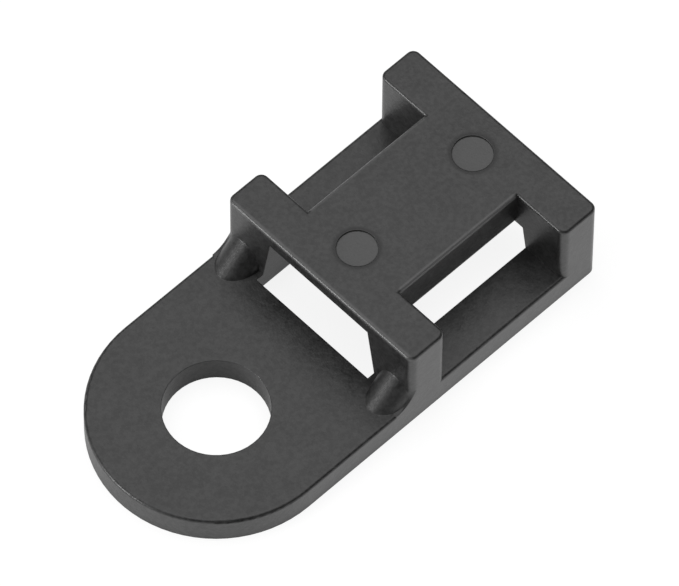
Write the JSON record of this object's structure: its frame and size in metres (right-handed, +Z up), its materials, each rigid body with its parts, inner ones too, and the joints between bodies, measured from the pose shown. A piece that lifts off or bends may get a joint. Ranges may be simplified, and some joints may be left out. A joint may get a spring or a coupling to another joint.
{
  "type": "cable tie mount",
  "caption": "Screw-fixed saddle mount for a cable tie: a flat round-nosed tongue with a screw hole and an H-shaped saddle on legs that the tie passes under.",
  "frame": {"origin": "axis of the screw hole, on the underside of the base", "axes": "+X from the screw hole towards the saddle, along the length of the mount; +Z up, out of the surface that the mount is screwed to; the tie runs along Y"},
  "size_m": [0.0214, 0.0106, 0.0047],
  "materials": {
    "black_nylon": "as-moulded black nylon with a fine matte texture"
  },
  "bodies": {
    "root": {"saddle_mount": "black_nylon"}
  },
  "joints": []
}
